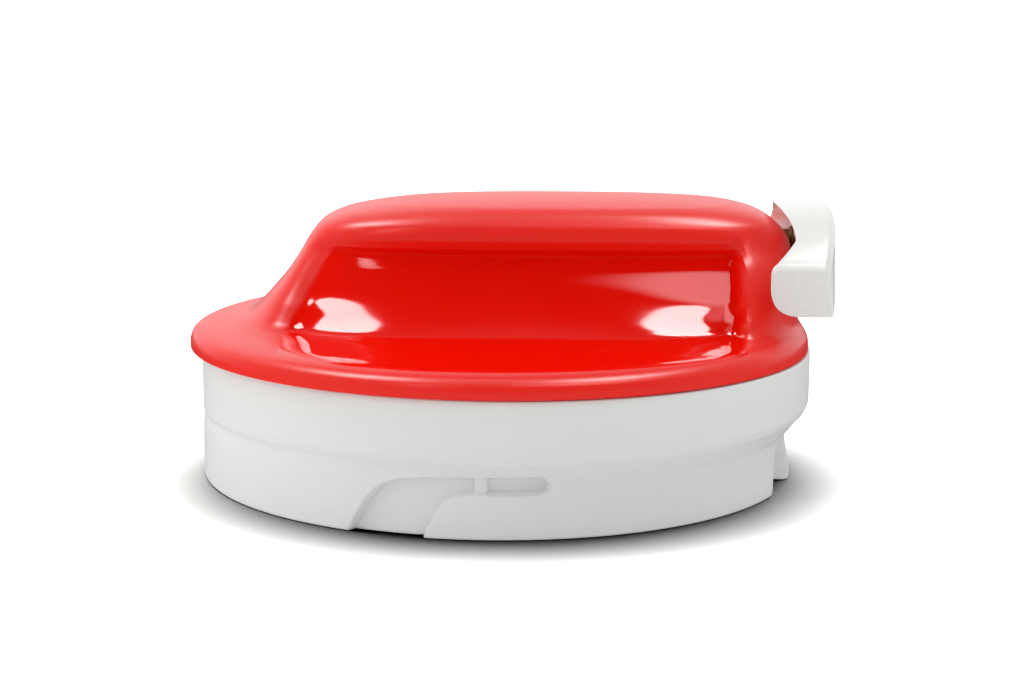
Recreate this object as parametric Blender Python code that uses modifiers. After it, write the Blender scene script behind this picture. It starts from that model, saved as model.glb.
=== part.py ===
"""Drive lid of a hand-pulled food chopper.

A red cover with a hand grip stands on a white housing ring. A pull handle at the end of the
grip draws a cord off a drum, the drum turns a shaft, and the shaft's hexagonal coupling drives
a blade from above. A flat spiral spring winds the cord back.

Lengths below are in millimetres, measured from the rim's axis, with the table at zero height.
MM turns them into Blender's metres. +X points from the grip to the pull handle.
"""
import math

import bmesh
import bpy
import numpy as np
from mathutils import Matrix, Vector

MM = 0.001
GAP = 0.3                     # left between pieces that touch

# Driving dimensions
RIM_RADIUS = 61.0
RIM_LOW = 25.5                # lower edge of the red rim
WALL = 2.0                    # moulded wall of the cover
HANDLE_OUT = 65.1             # outer face of the pull handle
ORIGIN_SHIFT = (RIM_RADIUS - HANDLE_OUT) / 2     # puts the origin under the middle of the box
DRIVE_X = -1.1                # drive axis, and the neck's
CORD_Z = 45.5                 # where the cord leaves the grip
CORD_RADIUS = 1.0
SHAFT_RADIUS = 3.0

# The cover is a stack of level outlines. Each list gives (height, reach) along one direction.
COVER_LEFT = [(25.5, -61.0), (26.6, -61.0), (27.8, -60.7), (28.6, -60.0), (29.1, -58.9),
              (29.5, -57.0), (29.8, -54.8), (30.2, -52.4), (31.2, -49.7), (33.2, -47.4),
              (35.4, -45.4), (39.4, -42.0), (43.4, -39.3), (47.3, -37.0), (49.3, -35.2),
              (51.3, -31.2), (52.6, -25.5), (53.5, -18.5), (54.2, -7.0), (54.5, 4.0)]
COVER_RIGHT = [(25.5, 61.0), (26.6, 61.0), (27.8, 60.8), (28.9, 60.2), (31.5, 58.7),
               (36.0, 57.7), (45.3, 56.8), (47.3, 56.2), (49.3, 54.6), (51.3, 51.9),
               (53.3, 45.4), (54.2, 33.0), (54.5, 21.0)]
COVER_ENDS = [(25.5, 61.0), (26.6, 61.0), (27.8, 60.7), (28.6, 60.0), (29.1, 59.0),
              (29.5, 57.4), (29.8, 55.2), (30.2, 51.0), (31.2, 44.0), (33.4, 37.5),
              (36.0, 33.0), (39.4, 29.0), (43.4, 25.0), (46.0, 22.2), (48.0, 21.0),
              (50.0, 20.4), (52.0, 18.8), (53.3, 16.4), (54.2, 9.5), (54.5, 4.0)]
COVER_SCOOP = [(25.5, 61.0), (26.6, 61.0), (27.8, 60.7), (28.6, 60.0), (29.1, 59.0),
               (29.5, 57.4), (29.8, 55.2), (30.2, 46.5), (31.0, 36.0), (32.2, 32.6),
               (34.5, 28.4), (37.5, 24.3), (40.5, 21.5), (43.0, 19.9), (44.8, 19.4),
               (46.4, 20.1), (48.0, 20.8), (50.0, 20.4), (52.0, 18.8), (53.3, 16.4),
               (54.2, 9.5), (54.5, 4.0)]
COVER_SQUARENESS = [(25.5, 2.0), (29.4, 2.0), (31.4, 2.3), (36.0, 3.0), (43.0, 3.6),
                    (50.0, 3.6), (53.3, 3.0), (54.5, 2.4)]
COVER_LEVELS = [25.5, 26.6, 27.8, 28.6, 29.1, 29.5, 29.8, 30.2, 31.1, 32.2, 34.5, 37.5, 40.5, 43.0,
                44.8, 46.4, 48.0, 49.6, 51.2, 52.4, 53.3, 54.1, 54.5]
COVER_COLUMNS = 44
SCOOP_FROM, SCOOP_FROM_SOFT = -41.0, 8.0         # the finger scoop starts softly at the left,
SCOOP_SLANT, SCOOP_UPRIGHT, SCOOP_RUN = 4.0, 44.0, 12.0   # further left lower down,
SCOOP_TO, SCOOP_TO_SOFT = 46.5, 3.0              # and ends crisply at the right

POST_X, POST_Y = 23.0, 39.0                      # screw posts under the rim
POST_RADIUS, POST_TOP = 3.6, 29.2
PILOT_RADIUS, PILOT_TOP = 1.7, 23.5              # bore for the screw in each post
BOSS_RADIUS, BOSS_LOW, BOSS_HIGH = 8.0, 49.9, 53.4     # holds the upper bush under the grip's top
SEAT_RADIUS, SEAT_TOP = 5.8, 52.2
EYELET_HOLE = 2.8

BAND_X, BAND_RADIUS = 1.35, 60.1                 # the housing's upper band
NECK_RADIUS = 58.0
FLARE_HEIGHT, FLARE_WIDER, FLARE_SHIFT = 8.0, 0.35, 0.7     # the neck's foot
SHOULDER_TOP, SHOULDER_SLOPE, SHOULDER_BEND = 15.6, 0.28, 0.085
CREASE_DEPTH, CREASE_TOP, CREASE_LOW, CREASE_END = 0.35, 13.8, 12.9, 10.4
SPIGOT_OUT, SPIGOT_IN, SPIGOT_TOP = 57.2, 56.0, 26.4   # stands up inside the cover's rim
SPIGOT_FOOT, NECK_BORE_TOP = 18.0, 14.0
PLATE_LOW, PLATE_HIGH = 9.0, 11.0
PLATE_RADIUS = 52.6
NECK_BORE = 54.2
LEDGE_BORE, LEDGE_THICK = 51.0, 1.5
FOOT_CHAMFER = 0.6
RING_COLUMNS = 56
RING_LEVELS = [0.6, 3.0, 5.5, 8.0, 10.4, 12.9, 13.8, SHOULDER_TOP]

# Bayonet channel in the neck, as (degrees round the neck, height)
CHANNEL = [(-26.3, -0.6), (-25.8, 0.5), (-24.2, 3.5), (-22.4, 6.4), (-20.7, 8.3), (-18.9, 9.5),
           (-16.1, 10.3), (-12.5, 10.7), (-8.0, 10.9), (-4.0, 11.0), (0.0, 11.0), (4.0, 11.0),
           (8.5, 11.0), (9.6, 10.4), (9.9, 9.6), (9.6, 8.8), (8.5, 8.2), (4.0, 8.2),
           (0.0, 8.2), (-4.0, 8.2), (-7.0, 7.7), (-8.4, 6.7), (-9.6, 5.0), (-10.8, 2.8),
           (-11.9, 0.6), (-12.3, -0.6)]
CHANNEL_FLOOR = 56.2
DETENT, DETENT_RISE = (-3.2, -0.8), 0.9          # bump that the lug snaps over
CHANNEL_COUNT = 4

SCREW_RADIUS, SCREW_HEAD, SCREW_TOP = 1.4, (3.0, 1.8), 22.5
SEAL_OUT, SEAL_IN, SEAL_LOW, SEAL_HIGH = 53.9, 52.9, 9.3, 10.7
PLATE_LIP, PLATE_LIP_LOW = 1.8, 7.6              # lip round the plate's edge
RIB_OUT, RIB_IN, RIB_LOW = 31.4, 30.0, 8.0       # ring rib under the plate
HUB_WALL_OUT, HUB_WALL_IN, HUB_WALL_TOP = 10.5, 7.5, 13.0      # round the lower bush

CASE_RADIUS, CASE_LOW, CASE_HIGH, CASE_WALL = 27.2, 11.3, 24.0, 1.2
CASE_INNER, CASE_BORE, LID_BORE = 25.6, 10.9, 6.9
EAR_COUNT, EAR_PLACE, EAR_RADIUS, EAR_BORE = 3, 29.4, 3.4, 1.5
CASE_SCREW_RADIUS, CASE_SCREW_HEAD, CASE_SCREW_LOW = 1.2, (2.4, 1.4), 16.0
SPRING_TURNS, SPRING_IN, SPRING_OUT = 6.5, 6.6, 24.6
SPRING_THICK, SPRING_LOW, SPRING_HIGH = 0.5, 14.0, 22.4
SPRING_STEPS = 14                                # points for each turn

SHAFT_LOW, SHAFT_HIGH = 9.4, 51.8
SHAFT_BORE = SHAFT_RADIUS + GAP                  # of what fits on the shaft
SOCKET_FLATS, SOCKET_TOP = 10.0, 7.2
HUB_LOW, HUB_HIGH, HUB_RADIUS, HUB_CHAMFER = 0.8, 7.9, 9.5, 0.8
STEM_RADIUS, STEM_TOP, STEM_SEAT = 5.0, 14.0, 9.1
PIN_Z, PIN_RADIUS, PIN_HALF, PIN_HOLE = 11.5, 0.9, 4.6, 1.2
DRUM_LOW, DRUM_HIGH = 37.3, 49.2
DRUM_RADIUS, DRUM_CORE, FLANGE = 15.0, 7.9, 1.5
CORD_WIND_RADIUS = 12.2
STEM_BORE = STEM_RADIUS + GAP
SLEEVES = [                                      # name, outer, bore, low, high, steel or not
    ("lower_bush", 7.2, STEM_BORE, 9.0, 13.4, False),
    ("thrust_washer", 9.0, STEM_BORE, HUB_HIGH + GAP, HUB_HIGH + GAP + 0.5, True),
    ("spring_arbor", 6.0, SHAFT_BORE, 14.3, 23.0, True),
    ("shaft_clip", 5.2, SHAFT_BORE, 23.3, 23.9, True),
    ("spacer_sleeve", 5.0, SHAFT_BORE, 26.0, DRUM_LOW - GAP, False),
    ("drum_washer", 5.4, SHAFT_BORE, DRUM_HIGH + GAP, DRUM_HIGH + GAP + 0.4, False),
    ("upper_bush", 5.5, SHAFT_BORE, 50.2, 51.9, False)]

EYELET_FLANGE, EYELET_BARREL, EYELET_BORE = 3.1, 2.5, 1.3
EYELET_START, EYELET_FACE, EYELET_END = 53.0, 57.2, 57.8
LEAD_START_Z, LEAD_BEND = 43.4, (50.5, -0.3)     # cord from the drum to the eyelet

HANDLE_HALF = 27.0                               # pull handle, across the grip
HANDLE_THIN, HANDLE_SWEEP = 58.9, 9.0            # its inner face, at the middle and swept back
HANDLE_BACK, HANDLE_SPLAY = 3.9, 1.1             # its outer face at the ends, top and foot
HANDLE_LOW, HANDLE_DROOP = 38.5, 4.1
HANDLE_HIGH, HANDLE_FALL = 53.3, 9.6
LEAN_FROM, LEAN = 48.6, 1.1                      # above this height it leans over the grip
HANDLE_STATIONS = [(-27.0, 0.7), (-26.8, 0.3), (-26.3, 0.0), (-23.5, 0.0), (-19.0, 0.0),
                   (-14.0, 0.0), (-9.0, 0.0), (-4.5, 0.0), (0.0, 0.0)]     # (place, inset)
HANDLE_BORE, POCKET_RADIUS, POCKET_DEPTH = 1.3, 4.2, 5.2
PLUG_RADIUS, PLUG_FROM, PLUG_TO = 3.9, 1.8, 0.3
KNOT_RADIUS, KNOT_DEPTH, KNOT_FLATTEN = 2.4, 3.6, 0.54

RED = (0.62, 0.012, 0.012)
WHITE = (0.80, 0.81, 0.79)
STEEL = (0.55, 0.56, 0.58)
NYLON = (0.75, 0.73, 0.68)
GREY = (0.25, 0.26, 0.27)
CORD = (0.55, 0.42, 0.28)


def clear_scene():
    for obj in list(bpy.data.objects):
        bpy.data.objects.remove(obj)


def collection(name):
    group = bpy.data.collections.new(name)
    bpy.context.scene.collection.children.link(group)
    return group


def material(name, colour, roughness, metallic=0.0):
    mat = bpy.data.materials.new(name)
    mat.use_nodes = True
    shader = mat.node_tree.nodes["Principled BSDF"]
    shader.inputs["Base Color"].default_value = (*colour, 1.0)
    shader.inputs["Roughness"].default_value = roughness
    shader.inputs["Metallic"].default_value = metallic
    mat.diffuse_color = (*colour, 1.0)
    return mat


def empty(name, place):
    obj = bpy.data.objects.new(name, None)
    obj.location = place
    PARTS.objects.link(obj)
    return obj


def add_object(name, mesh, frame, finish, cutter=False):
    """Link a mesh as a part of its frame, an empty on the piece's own axis."""
    obj = bpy.data.objects.new(name, mesh)
    obj.parent = frame
    if cutter:
        obj.hide_render = True
        obj.display_type = "WIRE"
        CUTTERS.objects.link(obj)
    else:
        colour, roughness, metallic = finish
        mesh.materials.append(material(name, colour, roughness, metallic))
        PARTS.objects.link(obj)
    mesh.shade_smooth()
    mesh.set_sharp_from_angle(angle=math.radians(35))
    return obj


def mesh_from_bmesh(name, bm):
    bmesh.ops.recalc_face_normals(bm, faces=bm.faces)
    mesh = bpy.data.meshes.new(name)
    bm.to_mesh(mesh)
    bm.free()
    return mesh


def loft(name, rings, close_loop=False, cap=True):
    """Skin a list of rings, which all have the same number of points in millimetres."""
    bm = bmesh.new()
    rows = [[bm.verts.new(Vector(point) * MM) for point in ring] for ring in rings]
    pairs = list(zip(rows, rows[1:]))
    if close_loop:
        pairs.append((rows[-1], rows[0]))
    for low, high in pairs:
        for i in range(len(low)):
            j = (i + 1) % len(low)
            bm.faces.new((low[i], low[j], high[j], high[i]))
    if cap and not close_loop:
        bm.faces.new(rows[-1])
        bm.faces.new(list(reversed(rows[0])))
    return mesh_from_bmesh(name, bm)


def turned(name, profile, frame, finish, steps=32, cutter=False):
    """Turn a closed outline of (radius, height) points round the frame's Z axis.

    The outline runs down the outer side first, then back up the inner side.
    """
    bm = bmesh.new()
    points = [bm.verts.new((r * MM, 0.0, z * MM)) for r, z in profile]
    for i, point in enumerate(points):
        bm.edges.new((point, points[(i + 1) % len(points)]))
    mesh = bpy.data.meshes.new(name)
    bm.to_mesh(mesh)
    bm.free()
    obj = add_object(name, mesh, frame, finish, cutter)
    screw = obj.modifiers.new("turn", "SCREW")
    screw.angle = 2 * math.pi
    screw.steps = screw.render_steps = steps
    screw.use_merge_vertices = True
    screw.merge_threshold = 0.000001
    return obj


def sleeve(name, outer, bore, low, high, frame, finish, steps=32):
    """A plain tube that stands round the frame's Z axis."""
    profile = [(outer, high), (outer, low), (bore, low), (bore, high)]
    return turned(name, profile, frame, finish, steps)


def cylinder_mesh(name, radius, start, end, segments=24, head=None):
    """A cylinder between two points; head = (radius, length) widens its start."""
    bm = bmesh.new()
    start, end = Vector(start), Vector(end)
    length = (end - start).length
    if head is None:
        made = bmesh.ops.create_cone(bm, cap_ends=True, segments=segments, radius1=radius * MM,
                                     radius2=radius * MM, depth=length * MM)
        bmesh.ops.translate(bm, verts=made["verts"], vec=(0, 0, length * MM / 2))
    else:
        outline = [(0.85 * head[0], 0.0), (head[0], 0.3 * head[1]), (head[0], head[1]),
                   (radius, head[1]), (radius, length)]
        rows = []
        for r, z in outline:
            ring = []
            for i in range(segments):
                angle = 2 * math.pi * i / segments
                ring.append(bm.verts.new((r * math.cos(angle) * MM, r * math.sin(angle) * MM, z * MM)))
            rows.append(ring)
        for low, high in zip(rows, rows[1:]):
            for i in range(segments):
                j = (i + 1) % segments
                bm.faces.new((low[i], low[j], high[j], high[i]))
        bm.faces.new(rows[-1])
        bm.faces.new(list(reversed(rows[0])))
    turn = Vector((0, 0, 1)).rotation_difference((end - start).normalized()).to_matrix().to_4x4()
    bmesh.ops.transform(bm, matrix=Matrix.Translation(start * MM) @ turn, verts=bm.verts)
    return mesh_from_bmesh(name, bm)


def rod(name, radius, start, end, frame, finish, segments=24, cutter=False, head=None):
    mesh = cylinder_mesh(name, radius, start, end, segments, head)
    return add_object(name, mesh, frame, finish, cutter)


def cut(obj, cutter, operation="DIFFERENCE"):
    step = obj.modifiers.new(operation.lower() + "_" + cutter.name, "BOOLEAN")
    step.operation = operation
    step.solver = "EXACT"
    step.object = cutter


def profile_at(points, height):
    """Smooth reach at a height, by cubic pieces that don't overshoot the listed points."""
    z = np.array([p[0] for p in points])
    v = np.array([p[1] for p in points])
    slope = np.diff(v) / np.diff(z)
    tangent = np.zeros(len(v))
    for i in range(1, len(v) - 1):
        if slope[i - 1] * slope[i] > 0:
            tangent[i] = 2 * slope[i - 1] * slope[i] / (slope[i - 1] + slope[i])
    tangent[0], tangent[-1] = slope[0], slope[-1]
    k = int(np.clip(np.searchsorted(z, height) - 1, 0, len(slope) - 1))
    step = z[k + 1] - z[k]
    t = min(max((height - z[k]) / step, 0.0), 1.0)
    return ((2 * t**3 - 3 * t**2 + 1) * v[k] + (t**3 - 2 * t**2 + t) * step * tangent[k]
            + (3 * t**2 - 2 * t**3) * v[k + 1] + (t**3 - t**2) * step * tangent[k + 1])


def smooth_step(t):
    t = min(max(t, 0.0), 1.0)
    return t * t * (3 - 2 * t)


def cover_ring(height, columns):
    """One level outline of the cover: a squared oval, drawn in at the finger scoops."""
    left = profile_at(COVER_LEFT, height)
    right = profile_at(COVER_RIGHT, height)
    ends = profile_at(COVER_ENDS, height)
    scoop = profile_at(COVER_SCOOP, height)
    power = profile_at(COVER_SQUARENESS, height)
    middle, half = (left + right) / 2, (right - left) / 2
    squeeze = (ends / half) ** 0.7
    start = SCOOP_FROM - SCOOP_SLANT * min(1.0, max(0.0, (SCOOP_UPRIGHT - height) / SCOOP_RUN))
    ring = []
    for i in range(columns):
        angle = 2 * math.pi * i / columns
        along, across = math.cos(angle), squeeze * math.sin(angle)
        reach = ((abs(along) / half) ** power + (abs(across) / ends) ** power) ** (-1 / power)
        x, y = middle + reach * along, reach * across
        inside = (smooth_step((x - start) / SCOOP_FROM_SOFT)
                  * smooth_step((SCOOP_TO - x) / SCOOP_TO_SOFT))
        y *= 1 - inside * (1 - scoop / ends)
        ring.append((x, y, height))
    return ring


def make_top_cover():
    rings = [cover_ring(height, COVER_COLUMNS) for height in COVER_LEVELS]
    bm = bmesh.new()
    rows = [[bm.verts.new(Vector(point) * MM) for point in ring] for ring in rings]
    for low, high in zip(rows, rows[1:]):
        for i in range(COVER_COLUMNS):
            j = (i + 1) % COVER_COLUMNS
            bm.faces.new((low[i], low[j], high[j], high[i]))
    bm.faces.new(rows[-1])
    cover = add_object("top_cover", mesh_from_bmesh("top_cover", bm), RIM, (RED, 0.35, 0.0))
    shell = cover.modifiers.new("shell", "SOLIDIFY")
    shell.thickness = WALL * MM
    shell.offset = -1.0

    for i, (sx, sy) in enumerate(CORNERS, start=1):
        x, y = sx * POST_X, sy * POST_Y
        post = rod(f"post_{i}", POST_RADIUS, (x, y, PLATE_HIGH + GAP), (x, y, POST_TOP), RIM,
                   None, 16, cutter=True)
        cut(cover, post, "UNION")
        pilot = rod(f"post_bore_{i}", PILOT_RADIUS, (x, y, PLATE_LOW), (x, y, PILOT_TOP), RIM,
                    None, 12, cutter=True)
        cut(cover, pilot)
    boss = rod("bush_boss", BOSS_RADIUS, (DRIVE_X, 0, BOSS_LOW), (DRIVE_X, 0, BOSS_HIGH), RIM,
               None, 24, cutter=True)
    cut(cover, boss, "UNION")
    seat = rod("bush_seat", SEAT_RADIUS, (DRIVE_X, 0, DRUM_HIGH), (DRIVE_X, 0, SEAT_TOP), RIM,
               None, 20, cutter=True)
    cut(cover, seat)
    hole = rod("eyelet_hole", EYELET_HOLE, (EYELET_START, 0, CORD_Z), (RIM_RADIUS, 0, CORD_Z),
               RIM, None, 20, cutter=True)
    cut(cover, hole)


def housing_outside(angle, height):
    """Outer wall: the neck, and above it a shoulder that swells out to the band."""
    foot = 1 - smooth_step(height / FLARE_HEIGHT)
    neck = NECK_RADIUS + FLARE_WIDER * foot
    offset = BAND_X - (DRIVE_X + FLARE_SHIFT * foot)
    neck_reach = (-offset * math.cos(angle)
                  + math.sqrt(neck ** 2 - (offset * math.sin(angle)) ** 2))
    below = max(0.0, SHOULDER_TOP - height)
    shoulder_reach = BAND_RADIUS - SHOULDER_SLOPE * below - SHOULDER_BEND * below ** 2
    crease = (smooth_step((CREASE_TOP - height) / (CREASE_TOP - CREASE_LOW))
              * smooth_step((height - CREASE_END) / (CREASE_LOW - CREASE_END)))
    reach = min(max(neck_reach, shoulder_reach), BAND_RADIUS) - CREASE_DEPTH * crease
    return BAND_X + reach * math.cos(angle), reach * math.sin(angle), height


def make_housing_ring():
    angles = [2 * math.pi * i / RING_COLUMNS for i in range(RING_COLUMNS)]

    def circle(radius, height, middle):
        return [(middle + radius * math.cos(a), radius * math.sin(a), height) for a in angles]

    foot = [(x - FOOT_CHAMFER * math.cos(a), y - FOOT_CHAMFER * math.sin(a), 0.0)
            for a, (x, y, _) in ((a, housing_outside(a, 0.0)) for a in angles)]
    rings = [foot] + [[housing_outside(a, height) for a in angles] for height in RING_LEVELS]
    top = RIM_LOW - GAP
    ledge = PLATE_HIGH + GAP
    rings += [circle(BAND_RADIUS, top, BAND_X), circle(SPIGOT_OUT, top, BAND_X),
              circle(SPIGOT_OUT, SPIGOT_TOP, BAND_X), circle(SPIGOT_IN, SPIGOT_TOP, BAND_X),
              circle(SPIGOT_IN, SPIGOT_FOOT, BAND_X), circle(NECK_BORE, NECK_BORE_TOP, DRIVE_X),
              circle(NECK_BORE, ledge + LEDGE_THICK, DRIVE_X),
              circle(LEDGE_BORE, ledge + LEDGE_THICK, DRIVE_X),
              circle(LEDGE_BORE, ledge, DRIVE_X), circle(NECK_BORE, ledge, DRIVE_X),
              circle(NECK_BORE, 0.0, DRIVE_X)]
    ring = add_object("housing_ring", loft("housing_ring", rings, close_loop=True), RIM,
                      (WHITE, 0.4, 0.0))
    outside = BAND_RADIUS + 1.5
    cut(ring, wrapped_cutter("bayonet_channels", CHANNEL, CHANNEL_FLOOR, outside))
    slot_low, slot_high = 7.9, 11.3
    block = [(DETENT[0], slot_low), (DETENT[1], slot_low), (DETENT[1], slot_high),
             (DETENT[0], slot_high)]
    cut(ring, wrapped_cutter("detents", block, CHANNEL_FLOOR - 0.6,
                             CHANNEL_FLOOR + DETENT_RISE), "UNION")


def wrapped_cutter(name, outline, inner, outer):
    """Wrap an outline of (degrees, height) round the neck, once for each channel."""
    bm = bmesh.new()
    for k in range(CHANNEL_COUNT):
        flat = [bm.verts.new((degrees, height, 0.0)) for degrees, height in outline]
        face = bm.faces.new(flat)
        faces = bmesh.ops.triangulate(bm, faces=[face])["faces"]
        grown = bmesh.ops.extrude_face_region(bm, geom=faces, use_keep_orig=True)
        raised = [v for v in grown["geom"] if isinstance(v, bmesh.types.BMVert)]
        for verts, radius in ((flat, inner), (raised, outer)):
            for v in verts:
                angle = math.radians(-90 + 360 * k / CHANNEL_COUNT + v.co.x)
                v.co = Vector((DRIVE_X + radius * math.cos(angle), radius * math.sin(angle),
                               v.co.y)) * MM
    return add_object(name, mesh_from_bmesh(name, bm), RIM, None, cutter=True)


def make_base_plate():
    lip = PLATE_RADIUS - PLATE_LIP
    profile = [(PLATE_RADIUS, PLATE_HIGH), (PLATE_RADIUS, PLATE_LIP_LOW), (lip, PLATE_LIP_LOW),
               (lip, PLATE_LOW), (RIB_OUT, PLATE_LOW), (RIB_OUT, RIB_LOW), (RIB_IN, RIB_LOW),
               (RIB_IN, PLATE_LOW), (HUB_WALL_IN, PLATE_LOW), (HUB_WALL_IN, HUB_WALL_TOP),
               (HUB_WALL_OUT, HUB_WALL_TOP), (HUB_WALL_OUT, PLATE_HIGH)]
    plate = turned("base_plate", profile, DRIVE, (WHITE, 0.45, 0.0), 40)
    sleeve("base_seal", SEAL_OUT, SEAL_IN, SEAL_LOW, SEAL_HIGH, DRIVE, (GREY, 0.7, 0.0), 40)
    for i, (sx, sy) in enumerate(CORNERS, start=1):
        x, y = sx * POST_X - DRIVE_X, sy * POST_Y
        hole = rod(f"plate_hole_{i}", PILOT_RADIUS, (x, y, PLATE_LOW - 1), (x, y, PLATE_HIGH + 1),
                   DRIVE, None, 12, cutter=True)
        cut(plate, hole)
        rod(f"base_screw_{i}", SCREW_RADIUS, (x, y, PLATE_LOW - GAP - SCREW_HEAD[1]),
            (x, y, SCREW_TOP), DRIVE, (STEEL, 0.35, 1.0), 12, head=SCREW_HEAD)


def make_spring_case():
    floor, lid_low = CASE_LOW + CASE_WALL, CASE_HIGH + GAP
    profile = [(CASE_RADIUS, CASE_HIGH), (CASE_RADIUS, CASE_LOW), (CASE_BORE, CASE_LOW),
               (CASE_BORE, floor), (CASE_INNER, floor), (CASE_INNER, CASE_HIGH)]
    case = turned("spring_case", profile, DRIVE, (GREY, 0.5, 0.0), 32)
    lid = sleeve("spring_case_lid", CASE_RADIUS, LID_BORE, lid_low, lid_low + CASE_WALL,
                 DRIVE, (GREY, 0.5, 0.0), 32)
    for i in range(EAR_COUNT):
        angle = math.radians(60 + 360 * i / EAR_COUNT)
        x, y = EAR_PLACE * math.cos(angle), EAR_PLACE * math.sin(angle)
        ear = rod(f"case_ear_{i + 1}", EAR_RADIUS, (x, y, CASE_LOW), (x, y, CASE_HIGH), DRIVE,
                  None, 16, cutter=True)
        cut(case, ear, "UNION")
        bore = rod(f"case_bore_{i + 1}", EAR_BORE, (x, y, CASE_SCREW_LOW - 1), (x, y, 30), DRIVE,
                   None, 12, cutter=True)
        cut(case, bore)
        tab = rod(f"lid_tab_{i + 1}", EAR_RADIUS, (x, y, lid_low), (x, y, lid_low + CASE_WALL),
                  DRIVE, None, 16, cutter=True)
        cut(lid, tab, "UNION")
        cut(lid, bore)
        head_top = lid_low + CASE_WALL + GAP + CASE_SCREW_HEAD[1]
        rod(f"case_screw_{i + 1}", CASE_SCREW_RADIUS, (x, y, head_top), (x, y, CASE_SCREW_LOW),
            DRIVE, (STEEL, 0.35, 1.0), 12, head=CASE_SCREW_HEAD)


def make_recoil_spring():
    """A flat strip wound from the arbor out to the case wall."""
    points = int(SPRING_TURNS * SPRING_STEPS) + 1
    bm = bmesh.new()
    low, high = [], []
    for i in range(points):
        t = i / (points - 1)
        angle = 2 * math.pi * SPRING_TURNS * t
        radius = SPRING_IN + (SPRING_OUT - SPRING_IN) * t
        x, y = radius * math.cos(angle) * MM, radius * math.sin(angle) * MM
        low.append(bm.verts.new((x, y, SPRING_LOW * MM)))
        high.append(bm.verts.new((x, y, SPRING_HIGH * MM)))
    for i in range(points - 1):
        bm.faces.new((low[i], low[i + 1], high[i + 1], high[i]))
    mesh = bpy.data.meshes.new("recoil_spring")
    bm.to_mesh(mesh)
    bm.free()
    spring = add_object("recoil_spring", mesh, DRIVE, (STEEL, 0.3, 1.0))
    strip = spring.modifiers.new("strip", "SOLIDIFY")
    strip.thickness = SPRING_THICK * MM
    strip.offset = 0.0


def make_drive():
    """What turns with the shaft, from the coupling below to the drum in the grip."""
    shaft = rod("drive_shaft", SHAFT_RADIUS, (0, 0, SHAFT_LOW), (0, 0, SHAFT_HIGH), DRIVE,
                (STEEL, 0.25, 1.0), 24)
    outline = [(STEM_RADIUS, STEM_TOP), (STEM_RADIUS, HUB_HIGH), (HUB_RADIUS, HUB_HIGH),
               (HUB_RADIUS, HUB_LOW + HUB_CHAMFER), (HUB_RADIUS - HUB_CHAMFER, HUB_LOW)]
    coupling = turned("drive_coupling", close_on_axis(outline), DRIVE, (WHITE, 0.4, 0.0), 24)
    socket = rod("hex_socket", SOCKET_FLATS / math.sqrt(3), (0, 0, -1), (0, 0, SOCKET_TOP),
                 DRIVE, None, 6, cutter=True)
    cut(coupling, socket)
    seat = rod("shaft_seat", SHAFT_BORE, (0, 0, STEM_SEAT), (0, 0, STEM_TOP + 1), DRIVE, None,
               16, cutter=True)
    cut(coupling, seat)
    cross = rod("pin_hole", PIN_HOLE, (-7, 0, PIN_Z), (7, 0, PIN_Z), DRIVE, None, 12, cutter=True)
    cut(coupling, cross)
    cut(shaft, cross)
    rod("drive_pin", PIN_RADIUS, (-PIN_HALF, 0, PIN_Z), (PIN_HALF, 0, PIN_Z), DRIVE,
        (STEEL, 0.3, 1.0), 12)
    for name, outer, bore, low, high, is_steel in SLEEVES:
        finish = (STEEL, 0.3, 1.0) if is_steel else (NYLON, 0.5, 0.0)
        sleeve(name, outer, bore, low, high, DRIVE, finish, 24 if outer > 7 else 20)

    core_top = DRUM_HIGH - FLANGE - GAP
    drum_profile = [(DRUM_CORE, core_top), (DRUM_CORE, DRUM_LOW + FLANGE),
                    (DRUM_RADIUS, DRUM_LOW + FLANGE), (DRUM_RADIUS, DRUM_LOW),
                    (SHAFT_BORE, DRUM_LOW), (SHAFT_BORE, core_top)]
    turned("cord_drum", drum_profile, DRIVE, (NYLON, 0.45, 0.0), 28)
    sleeve("drum_cap", DRUM_RADIUS, SHAFT_BORE, DRUM_HIGH - FLANGE, DRUM_HIGH, DRIVE,
           (NYLON, 0.45, 0.0), 28)
    sleeve("wound_cord", CORD_WIND_RADIUS, DRUM_CORE + GAP, DRUM_LOW + FLANGE + GAP,
           core_top - GAP, DRIVE, (CORD, 0.9, 0.0), 28)


def close_on_axis(profile):
    """Close an outer outline with a narrow bore, which the socket and seat then open."""
    low, high = profile[-1][1], profile[0][1]
    return profile + [(1.0, low), (1.0, high)]


def tube(name, points, radius, frame, finish):
    """A cord along a list of points, as a welded mesh."""
    curve = bpy.data.curves.new(name, "CURVE")
    curve.dimensions = "3D"
    curve.bevel_depth = radius * MM
    curve.bevel_resolution = 2
    curve.use_fill_caps = True
    spline = curve.splines.new("POLY")
    spline.points.add(len(points) - 1)
    for target, point in zip(spline.points, points):
        target.co = (*(Vector(point) * MM), 1.0)
    source = bpy.data.objects.new(name + "_curve", curve)
    PARTS.objects.link(source)
    bpy.context.view_layer.update()
    graph = bpy.context.evaluated_depsgraph_get()
    mesh = bpy.data.meshes.new_from_object(source.evaluated_get(graph))
    bpy.data.objects.remove(source)
    bm = bmesh.new()
    bm.from_mesh(mesh)
    bmesh.ops.remove_doubles(bm, verts=bm.verts, dist=0.00001)
    bm.to_mesh(mesh)
    bm.free()
    mesh.name = name
    mesh.materials.clear()
    return add_object(name, mesh, frame, finish)


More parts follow.
